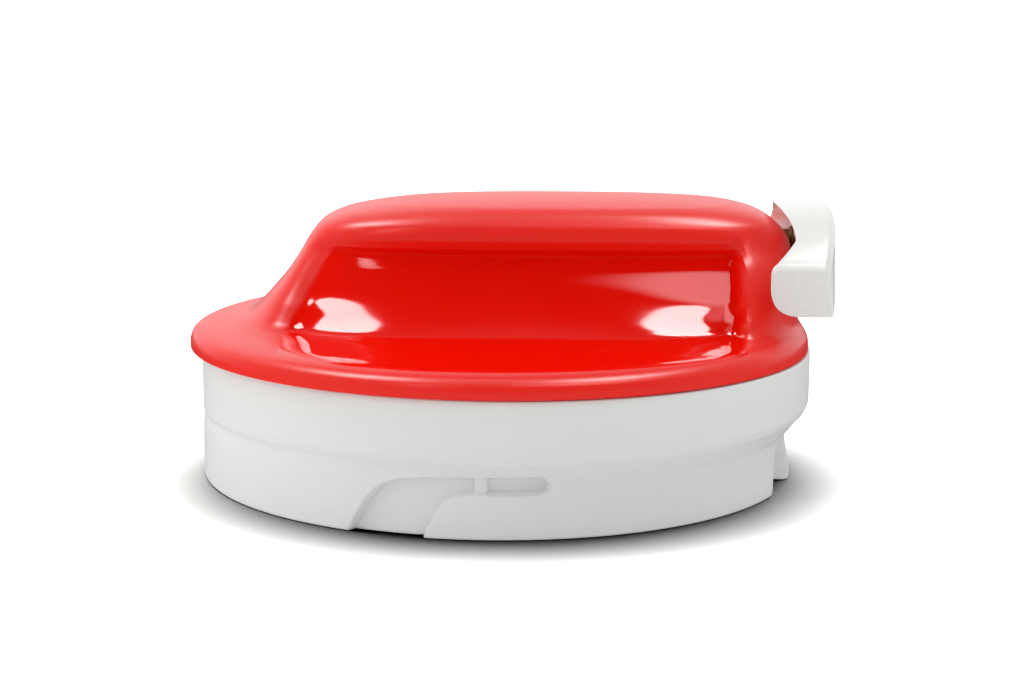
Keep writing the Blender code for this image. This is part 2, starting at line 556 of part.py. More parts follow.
def make_cord():
    """The cord's straight run from the drum to the eyelet, and the eyelet."""
    radius = CORD_WIND_RADIUS + GAP + CORD_RADIUS
    end = EYELET_START + GAP / 2
    angle = math.acos(radius / (end - DRIVE_X))
    start = (DRIVE_X + radius * math.cos(angle), -radius * math.sin(angle), LEAD_START_Z)
    tube("cord_lead", [start, (*LEAD_BEND, CORD_Z), (end, 0, CORD_Z)], CORD_RADIUS, RIM,
         (CORD, 0.9, 0.0))
    profile = [(EYELET_FLANGE, EYELET_END), (EYELET_FLANGE, EYELET_FACE),
               (EYELET_BARREL, EYELET_FACE), (EYELET_BARREL, EYELET_START),
               (EYELET_BORE, EYELET_START), (EYELET_BORE, EYELET_END)]
    eyelet = turned("cord_eyelet", profile, RIM, (STEEL, 0.25, 1.0), 20)
    eyelet.rotation_euler = (0, math.radians(90), 0)
    eyelet.location = (0, 0, CORD_Z * MM)


def rounded_ring(corners, y, steps):
    """A closed outline at one y through (x, z, reach) corners, each turned into a soft arc."""
    ring = []
    for i, (x, z, reach) in enumerate(corners):
        here = Vector((x, z))
        before = Vector(corners[i - 1][:2]) - here
        after = Vector(corners[(i + 1) % len(corners)][:2]) - here
        start = here + before.normalized() * reach
        end = here + after.normalized() * reach
        for k in range(steps + 1):
            t = k / steps
            point = (1 - t) ** 2 * start + 2 * t * (1 - t) * here + t * t * end
            ring.append((point.x, y, point.y))
    return ring


def handle_ring(y, inset, steps):
    """Section of the pull handle: thin and tall at the middle, thick and low at the ends."""
    t = abs(y) / HANDLE_HALF
    inner = HANDLE_THIN - HANDLE_SWEEP * t ** 3.2 + inset
    outer = HANDLE_OUT - HANDLE_BACK * t ** 2 - inset
    low = HANDLE_LOW - HANDLE_DROOP * t ** 1.5 + inset
    high = HANDLE_HIGH - HANDLE_FALL * t ** 2.2 - inset
    waist = min(LEAN_FROM, high - 2.2)
    over = LEAN * max(0.0, high - LEAN_FROM)
    foot = outer + HANDLE_SPLAY * t ** 2
    corners = [(outer, high, 1.8), (inner - over, high, 1.1), (inner, waist, 1.0),
               (inner, low, 2.6 + 1.9 * t ** 2), (foot, low, 0.9)]
    return rounded_ring(corners, y, steps)


def make_handle():
    stations = HANDLE_STATIONS + [(-y, inset) for y, inset in reversed(HANDLE_STATIONS[:-1])]
    rings = []
    for y, inset in stations:
        rings.append([(x - HANDLE_OUT, y, z - CORD_Z) for x, y, z in handle_ring(y, inset, 3)])
    handle = add_object("pull_handle", loft("pull_handle", rings), HANDLE, (WHITE, 0.35, 0.0))
    hole = rod("handle_bore", HANDLE_BORE, (-12, 0, 0), (-3, 0, 0), HANDLE, None, 16, cutter=True)
    cut(handle, hole)
    pocket = rod("knot_pocket", POCKET_RADIUS, (-POCKET_DEPTH, 0, 0), (2, 0, 0), HANDLE, None,
                 20, cutter=True)
    cut(handle, pocket)
    rod("handle_plug", PLUG_RADIUS, (-PLUG_FROM, 0, 0), (-PLUG_TO, 0, 0), HANDLE,
        (WHITE, 0.35, 0.0), 20)
    bm = bmesh.new()
    bmesh.ops.create_uvsphere(bm, u_segments=12, v_segments=8, radius=KNOT_RADIUS * MM)
    bmesh.ops.scale(bm, verts=bm.verts, vec=(KNOT_FLATTEN, 1.0, 1.0))
    bmesh.ops.translate(bm, verts=bm.verts, vec=(-KNOT_DEPTH * MM, 0, 0))
    add_object("handle_knot", mesh_from_bmesh("handle_knot", bm), HANDLE, (CORD, 0.9, 0.0))
    start = EYELET_START + 0.5 - HANDLE_OUT
    rod("pull_cord", CORD_RADIUS, (start, 0, 0), (-POCKET_DEPTH, 0, 0), HANDLE,
        (CORD, 0.9, 0.0), 12)


CORNERS = [(1, 1), (-1, 1), (-1, -1), (1, -1)]       # of the screw pattern
clear_scene()
PARTS = collection("chopper_drive_lid")
CUTTERS = collection("cutters")
RIM = empty("rim_frame", (ORIGIN_SHIFT * MM, 0, 0))
DRIVE = empty("drive_axis", ((DRIVE_X + ORIGIN_SHIFT) * MM, 0, 0))
HANDLE = empty("pull_axis", ((HANDLE_OUT + ORIGIN_SHIFT) * MM, 0, CORD_Z * MM))

make_top_cover()
make_housing_ring()
make_base_plate()
make_spring_case()
make_recoil_spring()
make_drive()
make_cord()
make_handle()
bpy.context.view_layer.update()
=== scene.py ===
"""Looks of the drive lid of a hand-pulled food chopper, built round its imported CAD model.

Shapes are worked out in millimetres from the rim's axis, as the design does, and MM turns
them into metres. Each visible moulding is made again as a fine mesh on the CAD's own outline.
"""
import math

import bmesh
import bpy
import numpy as np
from mathutils import Matrix, Vector


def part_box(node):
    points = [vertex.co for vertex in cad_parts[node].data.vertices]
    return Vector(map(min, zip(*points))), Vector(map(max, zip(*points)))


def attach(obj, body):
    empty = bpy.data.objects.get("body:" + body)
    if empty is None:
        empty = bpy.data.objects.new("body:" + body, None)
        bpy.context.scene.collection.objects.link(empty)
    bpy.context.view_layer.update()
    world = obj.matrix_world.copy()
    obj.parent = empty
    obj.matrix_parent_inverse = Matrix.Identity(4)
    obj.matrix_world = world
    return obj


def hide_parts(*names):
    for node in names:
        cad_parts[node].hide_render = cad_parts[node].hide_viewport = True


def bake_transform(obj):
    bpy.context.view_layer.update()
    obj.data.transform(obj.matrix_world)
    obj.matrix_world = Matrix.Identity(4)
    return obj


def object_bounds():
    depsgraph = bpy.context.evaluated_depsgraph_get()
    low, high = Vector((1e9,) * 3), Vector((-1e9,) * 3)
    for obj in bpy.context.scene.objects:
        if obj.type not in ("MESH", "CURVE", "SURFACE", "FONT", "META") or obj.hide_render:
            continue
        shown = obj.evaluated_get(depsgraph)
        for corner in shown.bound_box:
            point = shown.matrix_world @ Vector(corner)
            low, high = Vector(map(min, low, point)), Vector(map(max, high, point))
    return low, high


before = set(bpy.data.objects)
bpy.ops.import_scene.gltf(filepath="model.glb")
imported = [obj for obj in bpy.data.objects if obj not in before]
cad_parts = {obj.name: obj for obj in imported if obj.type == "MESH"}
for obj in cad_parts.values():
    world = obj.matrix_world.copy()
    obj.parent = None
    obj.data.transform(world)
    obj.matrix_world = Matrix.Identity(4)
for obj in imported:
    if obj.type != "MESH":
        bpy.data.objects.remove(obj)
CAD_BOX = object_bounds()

MM = 0.001
GAP = 0.3

# ---------------------------------------------------------------- driving dimensions
COVER_LOW, COVER_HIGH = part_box("top_cover")
RIM_X = (COVER_LOW[0] + COVER_HIGH[0]) / 2       # metres, the rim's axis
RIM_RADIUS = (COVER_HIGH[0] - COVER_LOW[0]) / 2 / MM
RIM_LOW = 25.5
WALL = 2.0
HANDLE_OUT = (CAD_BOX[1][0] - RIM_X) / MM
DRIVE_X = -1.1
CORD_Z = 45.5
CORD_RADIUS = 1.0
DRIVE_AXIS = RIM_X + DRIVE_X * MM                # metres

# The cover's level outlines: (height, reach) along each direction
COVER_LEFT = [(25.5, -61.0), (26.6, -61.0), (27.8, -60.7), (28.6, -60.0), (29.1, -58.9),
              (29.5, -57.0), (29.8, -54.8), (30.2, -52.4), (31.2, -49.7), (33.2, -47.4),
              (35.4, -45.4), (39.4, -42.0), (43.4, -39.3), (47.3, -37.0), (49.3, -35.2),
              (51.3, -31.2), (52.6, -25.5), (53.5, -18.5), (54.2, -7.0), (54.5, 4.0)]
COVER_RIGHT = [(25.5, 61.0), (26.6, 61.0), (27.8, 60.8), (28.9, 60.2), (31.5, 58.7),
               (36.0, 57.7), (45.3, 56.8), (47.3, 56.2), (49.3, 54.6), (51.3, 51.9),
               (53.3, 45.4), (54.2, 33.0), (54.5, 21.0)]
COVER_ENDS = [(25.5, 61.0), (26.6, 61.0), (27.8, 60.7), (28.6, 60.0), (29.1, 59.0),
              (29.5, 57.4), (29.8, 55.2), (30.2, 51.0), (31.2, 44.0), (33.4, 37.5),
              (36.0, 33.0), (39.4, 29.0), (43.4, 25.0), (46.0, 22.2), (48.0, 21.0),
              (50.0, 20.4), (52.0, 18.8), (53.3, 16.4), (54.2, 9.5), (54.5, 4.0)]
COVER_SCOOP = [(25.5, 61.0), (26.6, 61.0), (27.8, 60.7), (28.6, 60.0), (29.1, 59.0),
               (29.5, 57.4), (29.8, 55.2), (30.2, 46.5), (31.0, 36.0), (32.2, 32.6),
               (34.5, 28.4), (37.5, 24.3), (40.5, 21.5), (43.0, 19.9), (44.8, 19.4),
               (46.4, 20.1), (48.0, 20.8), (50.0, 20.4), (52.0, 18.8), (53.3, 16.4),
               (54.2, 9.5), (54.5, 4.0)]
COVER_SQUARENESS = [(25.5, 2.0), (29.4, 2.0), (31.4, 2.3), (36.0, 3.0), (43.0, 3.6),
                    (50.0, 3.6), (53.3, 3.0), (54.5, 2.4)]
COVER_BANDS = [(25.5, 26.6, 2), (26.6, 29.4, 20), (29.4, 31.4, 30), (31.4, 44.8, 40),
               (44.8, 48.0, 16), (48.0, 53.3, 20), (53.3, 54.5, 12)]
COVER_COLUMNS = 288
SCOOP_FROM, SCOOP_FROM_SOFT = -41.0, 8.0
SCOOP_SLANT, SCOOP_UPRIGHT, SCOOP_RUN = 4.0, 44.0, 12.0
SCOOP_TO, SCOOP_TO_SOFT = 46.5, 3.0
POLISH_LEFT, POLISH_RIGHT = -40.8, 45.4          # polished zone of the finger scoops, whose left
POLISH_SLANT, POLISH_FOOT, POLISH_RUN = 8.6, 31.0, 15.0   # edge slants in as it goes up
POLISH_TOP, POLISH_RIM = 46.3, 59.5

CHANNEL = [(-26.3, -0.6), (-25.8, 0.5), (-24.2, 3.5), (-22.4, 6.4), (-20.7, 8.3), (-18.9, 9.5),
           (-16.1, 10.3), (-12.5, 10.7), (-8.0, 10.9), (-4.0, 11.0), (0.0, 11.0), (4.0, 11.0),
           (8.5, 11.0), (9.6, 10.4), (9.9, 9.6), (9.6, 8.8), (8.5, 8.2), (4.0, 8.2),
           (0.0, 8.2), (-4.0, 8.2), (-7.0, 7.7), (-8.4, 6.7), (-9.6, 5.0), (-10.8, 2.8),
           (-11.9, 0.6), (-12.3, -0.6)]
CHANNEL_FLOOR = 56.2
DETENT, DETENT_RISE = (-3.2, -0.8), 0.9
CHANNEL_COUNT = 4
PLATE_LOW, PLATE_HIGH, PLATE_RADIUS = 9.0, 11.0, 52.6
NECK_BORE = 54.2
LEDGE_BORE, LEDGE_THICK = 51.0, 1.5
POST_X, POST_Y, POST_RADIUS, POST_TOP = 23.0, 39.0, 3.6, 29.2
PILOT_RADIUS, PILOT_TOP = 1.7, 23.5
BOSS_RADIUS, BOSS_LOW, BOSS_HIGH = 8.0, 49.9, 53.4
SEAT_RADIUS, SEAT_TOP = 5.8, 52.2
EYELET_HOLE = 2.8
BAND_X, BAND_RADIUS = 1.35, 60.1
NECK_RADIUS = 58.0
FLARE_HEIGHT, FLARE_WIDER, FLARE_SHIFT = 8.0, 0.35, 0.7
SHOULDER_TOP, SHOULDER_SLOPE, SHOULDER_BEND, SHOULDER_SOFT = 15.6, 0.28, 0.085, 0.5
CREASE_DEPTH, CREASE_TOP, CREASE_LOW, CREASE_END = 0.35, 13.8, 12.9, 10.4
SPIGOT_OUT, SPIGOT_IN, SPIGOT_TOP = 57.2, 56.0, 26.4
SPIGOT_FOOT, NECK_BORE_TOP = 18.0, 14.0
HUB_LOW, HUB_HIGH, HUB_RADIUS, SOCKET_FLATS, SOCKET_TOP = 0.8, 7.9, 9.5, 10.0, 7.2
STEM_RADIUS, STEM_TOP = 5.0, 14.0
EYELET_START, EYELET_FACE, EYELET_END = 53.0, 57.2, 57.8
HANDLE_HALF = 27.0
HANDLE_THIN, HANDLE_SWEEP = 58.9, 9.0
HANDLE_BACK, HANDLE_SPLAY = 3.9, 1.1
HANDLE_LOW, HANDLE_DROOP = 38.5, 4.1
HANDLE_HIGH, HANDLE_FALL = 53.3, 9.6
LEAN_FROM, LEAN = 48.6, 1.1
CORNERS = [(1, 1), (-1, 1), (-1, -1), (1, -1)]   # of the screw pattern

# Studio: radiance of the surroundings, and the floor's colour as bounced, seen and reflected
DAYLIGHT, DAYLIGHT_TURN = 1.27, (-0.30, 0.85)    # mean radiance, and how it leans with x, y
ROOM_BEHIND, ROOM_ABOVE, ROOM_SIDE = 1.0, 0.4, 0.1  # what reflections see
BACKDROP = 1.1                                      # what the camera sees past the floor
# Soft lamps: direction, radiance, and the half width and edge fade in degrees
LAMPS = [((0.36, -0.38, 0.86), 3.8, 15.0, 8.0), ((-0.41, -0.64, 0.64), 5.0, 4.0, 1.5),
         ((-0.37, -0.57, 0.73), 4.0, 4.0, 1.5), ((-0.45, -0.70, 0.55), 4.0, 4.0, 1.5)]
# Lamps over the lid: name, direction, size in metres at one metre, radiance
SOFTBOXES = [("left_softbox", (-0.43, 0.17, 0.89), (0.44, 0.34), 11.0),
             ("right_softbox", (0.36, 0.10, 0.93), (0.44, 0.34), 12.5)]
FLOOR_BOUNCE, FLOOR_SEEN = (0.94, 0.95, 0.94), (1.6, 1.62, 1.6)
FLOOR_REFLECTED = (0.05, 0.05, 0.05)
PAINTED_SHADOW_REACH = 0.020                                     # metres, how far the contact shadow painted into the floor's colour reaches
PAINTED_SHADOW_LEAN, PAINTED_SHADOW_RANGE = (0.0, 0.6, 0.8), (0.3, 1.0)   # the painted shadow is deeper in front of the lid


# ---------------------------------------------------------------- small helpers
def smooth_step(t):
    t = np.clip(t, 0.0, 1.0)
    return t * t * (3 - 2 * t)


def profile_at(points, height):
    """Smooth reach at a height, by cubic pieces that don't overshoot the listed points."""
    z = np.array([p[0] for p in points])
    v = np.array([p[1] for p in points])
    slope = np.diff(v) / np.diff(z)
    tangent = np.zeros(len(v))
    for i in range(1, len(v) - 1):
        if slope[i - 1] * slope[i] > 0:
            tangent[i] = 2 * slope[i - 1] * slope[i] / (slope[i - 1] + slope[i])
    tangent[0], tangent[-1] = slope[0], slope[-1]
    k = int(np.clip(np.searchsorted(z, height) - 1, 0, len(slope) - 1))
    step = z[k + 1] - z[k]
    t = min(max((height - z[k]) / step, 0.0), 1.0)
    return ((2 * t**3 - 3 * t**2 + 1) * v[k] + (t**3 - 2 * t**2 + t) * step * tangent[k]
            + (3 * t**2 - 2 * t**3) * v[k + 1] + (t**3 - t**2) * step * tangent[k + 1])


def new_piece(name, mesh, material, sharp=40):
    piece = bpy.data.objects.new(name, mesh)
    bpy.context.scene.collection.objects.link(piece)
    mesh.materials.append(material)
    mesh.shade_smooth()
    if sharp:
        mesh.set_sharp_from_angle(angle=math.radians(sharp))
    return piece


def grid_mesh(name, rings, closed_loop=False, cap_start=False, cap_end=False):
    """Skin rings, an array of (ring, point, xyz) in metres, into quads with outward faces."""
    count, around = rings.shape[:2]
    faces = []
    rows = count if closed_loop else count - 1
    for r in range(rows):
        a, b = r * around, ((r + 1) % count) * around
        faces += [(a + i, a + (i + 1) % around, b + (i + 1) % around, b + i)
                  for i in range(around)]
    if cap_start:
        faces.append(tuple(range(around - 1, -1, -1)))
    if cap_end:
        faces.append(tuple((count - 1) * around + i for i in range(around)))
    mesh = bpy.data.meshes.new(name)
    mesh.from_pydata(rings.reshape(-1, 3).tolist(), [], faces)
    mesh.update()
    return mesh


def soften(outline, radius, steps=4):
    """Round every corner of a closed outline; radius is one value, or one for each corner."""
    points = [Vector(p) for p in outline]
    radii = radius if isinstance(radius, list) else [radius] * len(points)
    result = []
    for i, here in enumerate(points):
        before, after = points[i - 1] - here, points[(i + 1) % len(points)] - here
        share = [0.98 * radii[i] / (radii[i] + other)
                 for other in (radii[i - 1], radii[(i + 1) % len(points)])]
        reach = min(radii[i], before.length * share[0], after.length * share[1])
        start, end = here + before.normalized() * reach, here + after.normalized() * reach
        for k in range(steps + 1):
            t = k / steps
            result.append((1 - t) ** 2 * start + 2 * t * (1 - t) * here + t * t * end)
    return result


def turned_piece(name, outline, material, radius=0.3, steps=128, along_x=False):
    """Turn a closed (radius, height) outline, which runs down its outer side first.

    It turns round the drive axis, or round the cord's line, where the height is then x.
    """
    rings = []
    for p in soften(outline, radius):
        ring = []
        for i in range(steps):
            angle = 2 * math.pi * i / steps
            u, v = p.x * MM * math.cos(angle), p.x * MM * math.sin(angle)
            if along_x:
                ring.append((RIM_X + p.y * MM, u, CORD_Z * MM + v))
            else:
                ring.append((DRIVE_AXIS + u, v, p.y * MM))
        rings.append(ring)
    rings.reverse()
    return new_piece(name, grid_mesh(name, np.array(rings), closed_loop=True), material)


def cylinder(radius, start, end, segments=48):
    """A bare cylinder mesh object between two points in mm, for cutting and joining."""
    bm = bmesh.new()
    start, end = Vector(start), Vector(end)
    length = (end - start).length
    made = bmesh.ops.create_cone(bm, cap_ends=True, segments=segments, radius1=radius * MM,
                                 radius2=radius * MM, depth=length * MM)
    turn = Vector((0, 0, 1)).rotation_difference((end - start).normalized())
    place = Matrix.Translation((start + end) / 2 * MM + Vector((RIM_X, 0, 0)))
    bmesh.ops.transform(bm, matrix=place @ turn.to_matrix().to_4x4(), verts=made["verts"])
    mesh = bpy.data.meshes.new("tool")
    bm.to_mesh(mesh)
    bm.free()
    tool = bpy.data.objects.new("tool", mesh)
    bpy.context.scene.collection.objects.link(tool)
    return tool


def slab(centre, size, turn=0.0):
    """A bare box mesh object, turned round Z, for cutting and joining."""
    bm = bmesh.new()
    made = bmesh.ops.create_cube(bm, size=1.0)
    bmesh.ops.scale(bm, verts=made["verts"], vec=[s * MM for s in size])
    bmesh.ops.rotate(bm, verts=made["verts"], matrix=Matrix.Rotation(turn, 3, "Z"))
    bmesh.ops.translate(bm, verts=made["verts"], vec=Vector(centre) * MM + Vector((RIM_X, 0, 0)))
    mesh = bpy.data.meshes.new("tool")
    bm.to_mesh(mesh)
    bm.free()
    tool = bpy.data.objects.new("tool", mesh)
    bpy.context.scene.collection.objects.link(tool)
    return tool


def carve(piece, tools, operation="DIFFERENCE"):
    """Cut or join the tools, apply the result and remove them."""
    for tool in tools:
        step = piece.modifiers.new("carve", "BOOLEAN")
        step.operation = operation
        step.solver = "EXACT"
        step.object = tool
    bpy.context.view_layer.update()
    graph = bpy.context.evaluated_depsgraph_get()
    mesh = bpy.data.meshes.new_from_object(piece.evaluated_get(graph))
    piece.modifiers.clear()
    old, piece.data = piece.data, mesh
    bpy.data.meshes.remove(old)
    for tool in tools:
        bpy.data.objects.remove(tool)
    mesh.shade_smooth()
    mesh.set_sharp_from_angle(angle=math.radians(40))


# ---------------------------------------------------------------- materials
class Finish:
    """A Principled material that is wired node by node."""

    def __init__(self, name, **values):
        self.material = bpy.data.materials.new(name)
        self.material.use_nodes = True
        self.tree = self.material.node_tree
        self.shader = self.tree.nodes["Principled BSDF"]
        for socket, value in values.items():
            self.shader.inputs[socket.replace("_", " ")].default_value = value
        self.place = self.add("ShaderNodeTexCoord").outputs["Object"]

    def add(self, kind, **settings):
        node = self.tree.nodes.new(kind)
        for key, value in settings.items():
            setattr(node, key, value)
        return node

    def link(self, source, target):
        self.tree.links.new(source, target)

    def noise(self, scale, detail=3.0, roughness=0.5, stretch=None):
        node = self.add("ShaderNodeTexNoise")
        node.inputs["Scale"].default_value = scale
        node.inputs["Detail"].default_value = detail
        node.inputs["Roughness"].default_value = roughness
        place = self.place
        if stretch:
            mapping = self.add("ShaderNodeMapping")
            mapping.inputs["Scale"].default_value = stretch
            self.link(place, mapping.inputs["Vector"])
            place = mapping.outputs["Vector"]
        self.link(place, node.inputs["Vector"])
        return node.outputs["Fac"]

    def spread(self, source, low, high, from_low=0.3, from_high=0.7):
        node = self.add("ShaderNodeMapRange")
        node.inputs["From Min"].default_value = from_low
        node.inputs["From Max"].default_value = from_high
        node.inputs["To Min"].default_value = low
        node.inputs["To Max"].default_value = high
        self.link(source, node.inputs["Value"])
        return node.outputs["Result"]

    def blend_colours(self, factor, first, second):
        node = self.add("ShaderNodeMix", data_type="RGBA")
        for socket, value in ((node.inputs[6], first), (node.inputs[7], second)):
            if isinstance(value, tuple):
                socket.default_value = (*value, 1.0)
            else:
                self.link(value, socket)
        self.link(factor, node.inputs[0])
        return node.outputs[2]

    def maths(self, operation, first, second):
        node = self.add("ShaderNodeMath", operation=operation)
        for socket, value in zip(node.inputs, (first, second)):
            if isinstance(value, (int, float)):
                socket.default_value = value
            else:
                self.link(value, socket)
        return node.outputs[0]

    def bump(self, height, strength, distance, before=None):
        node = self.add("ShaderNodeBump")
        node.inputs["Distance"].default_value = distance
        if isinstance(strength, (int, float)):
            node.inputs["Strength"].default_value = strength
        else:
            self.link(strength, node.inputs["Strength"])
        self.link(height, node.inputs["Height"])
        if before is not None:
            self.link(before, node.inputs["Normal"])
        return node.outputs["Normal"]

    def to(self, source, socket):
        self.link(source, self.shader.inputs[socket])


def red_plastic():
    """Red moulding: spark-eroded satin, with polished finger scoops."""
    finish = Finish("red_cover", IOR=1.5, Subsurface_Weight=0.0)
    polish = finish.add("ShaderNodeAttribute", attribute_name="polish").outputs["Fac"]
    mottle = finish.noise(90, 2)
    satin = finish.blend_colours(mottle, (0.87, 0.011, 0.004), (0.91, 0.013, 0.005))
    gloss = finish.blend_colours(mottle, (0.81, 0.004, 0.0003), (0.85, 0.005, 0.0004))
    finish.to(finish.blend_colours(polish, satin, gloss), "Base Color")
    grain = finish.spread(finish.noise(700, 2), 0.29, 0.33)
    smear = finish.spread(finish.noise(60, 4), 0.05, 0.09)
    rough = finish.add("ShaderNodeMix", data_type="FLOAT")
    finish.link(polish, rough.inputs[0])
    finish.link(grain, rough.inputs[2])
    finish.link(smear, rough.inputs[3])
    finish.to(rough.outputs[0], "Roughness")
    unpolished = finish.maths("SUBTRACT", 1.0, polish)
    finish.to(finish.bump(finish.noise(1200, 1), finish.maths("MULTIPLY", unpolished, 0.04),
                          0.00004), "Normal")
    return finish.material


def white_plastic(name, colour, rough, grain=1200, depth=0.04):
    """Pale moulding with a fine eroded grain and a faint flow mottle."""
    finish = Finish(name, IOR=1.5, Subsurface_Weight=0.0)
    tint = tuple(c * 0.965 for c in colour)
    finish.to(finish.blend_colours(finish.noise(45, 3), colour, tint), "Base Color")
    finish.to(finish.spread(finish.noise(400, 2), rough - 0.02, rough + 0.03), "Roughness")
    finish.to(finish.bump(finish.noise(grain, 2), depth, 0.00004), "Normal")
    return finish.material


def metal(name, colour, rough, stretch=(1, 1, 40)):
    """Ground or rolled steel with fine lines along one direction."""
    finish = Finish(name, Metallic=1.0)
    lines = finish.noise(900, 3, stretch=stretch)
    darker = tuple(c * 0.85 for c in colour)
    finish.to(finish.blend_colours(lines, colour, darker), "Base Color")
    finish.to(finish.spread(lines, rough - 0.06, rough + 0.08), "Roughness")
    finish.to(finish.bump(lines, 0.15, 0.00002), "Normal")
    return finish.material


def braided_cord():
    """Cord with a crossed braid along X, coloured tan and brown as painted shade and painted red
    bounce light of the gap it lies in.
    """
    finish = Finish("cord_braid_painted_shade", Roughness=0.85, Sheen_Weight=0.3)
    waves = []
    for turn in (0.75, -0.75):
        mapping = finish.add("ShaderNodeMapping")
        mapping.inputs["Rotation"].default_value = (0, 0, turn)
        finish.link(finish.place, mapping.inputs["Vector"])
        wave = finish.add("ShaderNodeTexWave", bands_direction="X")
        wave.inputs["Scale"].default_value = 700
        finish.link(mapping.outputs["Vector"], wave.inputs["Vector"])
        waves.append(wave.outputs["Fac"])
    braid = finish.maths("MULTIPLY", waves[0], waves[1])
    # the braid pattern is the cord's own; its tan and brown are painted shade and painted red
    # bounce light
    finish.to(finish.blend_colours(braid, (0.30, 0.20, 0.11), (0.62, 0.47, 0.30)),
              "Base Color")
    finish.to(finish.bump(braid, 0.8, 0.0002), "Normal")
    return finish.material


def dark_plastic(name, colour, rough):
    finish = Finish(name, IOR=1.5)
    worn = tuple(min(1.0, c * 1.25) for c in colour)
    finish.to(finish.blend_colours(finish.noise(120, 4), colour, worn), "Base Color")
    finish.to(finish.spread(finish.noise(700, 3), rough - 0.08, rough + 0.08), "Roughness")
    finish.to(finish.bump(finish.noise(1500, 2), 0.25, 0.00005), "Normal")
    return finish.material


RED = red_plastic()
WHITE = white_plastic("housing_white", (0.80, 0.815, 0.80), 0.40)
HANDLE_WHITE = white_plastic("handle_white", (0.84, 0.84, 0.815), 0.26, depth=0.01)
NATURAL = white_plastic("natural_nylon", (0.72, 0.69, 0.60), 0.38)
STEEL = metal("ground_steel", (0.62, 0.63, 0.65), 0.24)
# Eyelet metal coloured dark brown: painted shade of the gap behind the handle
EYELET_PAINTED_SHADE = metal("eyelet_painted_gap_shade", (0.22, 0.13, 0.07), 0.34)
SPRING_STEEL = metal("rolled_spring_steel", (0.42, 0.45, 0.52), 0.28)
GREY = dark_plastic("grey_case", (0.17, 0.175, 0.18), 0.42)
RUBBER = dark_plastic("seal_rubber", (0.09, 0.09, 0.095), 0.65)
CORD_PAINTED_SHADE = braided_cord()


# ---------------------------------------------------------------- mouldings
def cover_ring(height, angles):
    """One level outline of the cover: a squared oval, drawn in at the finger scoops."""
    left, right = profile_at(COVER_LEFT, height), profile_at(COVER_RIGHT, height)
    ends, scoop = profile_at(COVER_ENDS, height), profile_at(COVER_SCOOP, height)
    power = profile_at(COVER_SQUARENESS, height)
    middle, half = (left + right) / 2, (right - left) / 2
    along = np.cos(angles)
    across = (ends / half) ** 0.7 * np.sin(angles)
    reach = ((abs(along) / half) ** power + (abs(across) / ends) ** power) ** (-1 / power)
    x, y = middle + reach * along, reach * across
    start = SCOOP_FROM - SCOOP_SLANT * min(1.0, max(0.0, (SCOOP_UPRIGHT - height) / SCOOP_RUN))
    inside = (smooth_step((x - start) / SCOOP_FROM_SOFT)
              * smooth_step((SCOOP_TO - x) / SCOOP_TO_SOFT))
    y = y * (1 - inside * (1 - scoop / ends))
    return np.stack([x, y, np.full_like(x, height)], axis=1)


def polish_of(points):
    """1 on the polished scoops and flange floor in front of them, 0 on the satin skin."""
    x, y, z = points.T
    left = POLISH_LEFT + POLISH_SLANT * np.clip((z - POLISH_FOOT) / POLISH_RUN, 0, 1)
    mask = smooth_step((x - left) / 0.8) * smooth_step((POLISH_RIGHT - x) / 0.5)
    mask *= smooth_step((POLISH_TOP - z) / 0.5)
    mask *= smooth_step((POLISH_RIM - np.hypot(x, y)) / 0.8)
    return mask


def make_cover():
    heights = []
    for low, high, count in COVER_BANDS:
        heights += list(np.linspace(low, high, count, endpoint=False))
    heights.append(COVER_BANDS[-1][1])
    angles = np.linspace(0, 2 * math.pi, COVER_COLUMNS, endpoint=False)
    rings = np.array([cover_ring(h, angles) for h in heights])
    mesh = grid_mesh("red_cover", rings * MM + np.array([RIM_X, 0, 0]), cap_end=True)
    cover = new_piece("red_cover", mesh, RED)
    shell = cover.modifiers.new("shell", "SOLIDIFY")
    shell.thickness = WALL * MM
    shell.offset = -1.0
    carve(cover, [])
    posts = [cylinder(POST_RADIUS, (sx * POST_X, sy * POST_Y, PLATE_HIGH + GAP),
                      (sx * POST_X, sy * POST_Y, POST_TOP)) for sx, sy in CORNERS]
    boss = cylinder(BOSS_RADIUS, (DRIVE_X, 0, BOSS_LOW), (DRIVE_X, 0, BOSS_HIGH))
    carve(cover, posts + [boss], "UNION")
    pilots = [cylinder(PILOT_RADIUS, (sx * POST_X, sy * POST_Y, PLATE_LOW),
                       (sx * POST_X, sy * POST_Y, PILOT_TOP), 24) for sx, sy in CORNERS]
    seat = cylinder(SEAT_RADIUS, (DRIVE_X, 0, BOSS_LOW - 1), (DRIVE_X, 0, SEAT_TOP))
    hole = cylinder(EYELET_HOLE, (EYELET_START, 0, CORD_Z), (RIM_RADIUS, 0, CORD_Z), 40)
    carve(cover, pilots + [seat, hole])
    mesh = cover.data
    points = np.empty(len(mesh.vertices) * 3)
    mesh.vertices.foreach_get("co", points)
    points = (points.reshape(-1, 3) - np.array([RIM_X, 0, 0])) / MM
    mask = mesh.attributes.new("polish", "FLOAT", "POINT")
    mask.data.foreach_set("value", polish_of(points).astype(np.float32))
    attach(cover, "root")
    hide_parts("top_cover")
    return cover


def outline_distance(outline, u, v):
    """Signed distance from points to a closed outline, above 0 inside it."""
    inside = np.zeros(u.shape, bool)
    nearest = np.full(u.shape, 1e9)
    for (x0, y0), (x1, y1) in zip(outline, outline[1:] + outline[:1]):
        ex, ey = x1 - x0, y1 - y0
        t = np.clip(((u - x0) * ex + (v - y0) * ey) / (ex * ex + ey * ey), 0, 1)
        nearest = np.minimum(nearest, np.hypot(u - x0 - t * ex, v - y0 - t * ey))
        if ey:
            crosses = (v < y0) != (v < y1)
            inside ^= crosses & (u < x0 + (v - y0) * ex / ey)
    return np.where(inside, nearest, -nearest)


